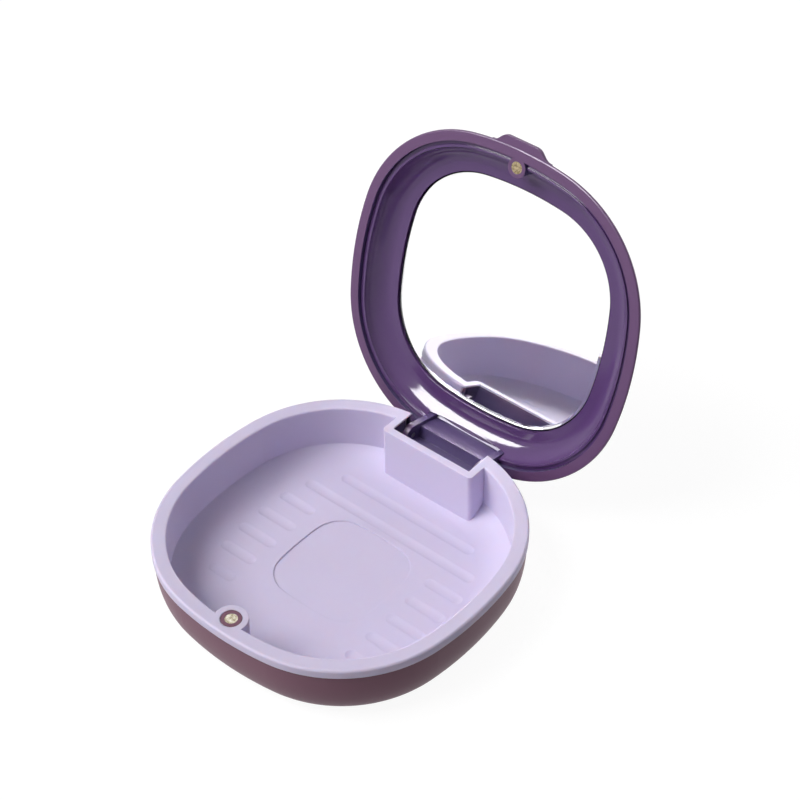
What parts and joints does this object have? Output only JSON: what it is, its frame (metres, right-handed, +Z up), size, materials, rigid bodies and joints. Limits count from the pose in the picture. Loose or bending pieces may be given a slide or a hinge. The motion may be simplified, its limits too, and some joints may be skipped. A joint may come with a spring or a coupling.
{
  "type": "denture case",
  "caption": "Rounded-square denture case: a base with a drop-in tray and a domed, mirrored lid on a pinned back hinge, held shut by magnets behind a thumb tab.",
  "frame": {"origin": "centre of the base's flat underside", "axes": "+X along the hinge, -Y to the front with the thumb tab and the magnets, +Z up; the lid stands open at its stop"},
  "size_m": [0.083, 0.1131, 0.0901],
  "materials": {
    "shell": "satin",
    "lid_shell": "gloss",
    "tray": "matt",
    "liner": "gloss",
    "mirror": "polished",
    "adhesive": "foam tape",
    "magnet": "nickel plate",
    "pin": "drawn wire"
  },
  "bodies": {
    "base": {"base_shell": "shell", "inner_tray": "tray", "base_magnet": "magnet", "hinge_pin_left": "pin", "hinge_pin_right": "pin"},
    "lid": {"lid_shell": "lid_shell", "lid_liner": "liner", "mirror": "mirror", "mirror_adhesive": "adhesive", "lid_magnet": "magnet"}
  },
  "joints": [
    {"name": "lid_hinge", "type": "hinge", "parent": "base", "child": "lid", "pos_m": [0, 0.0387, 0.0124], "axis": [1, 0, 0], "range_deg": [0, 105.6]}
  ]
}
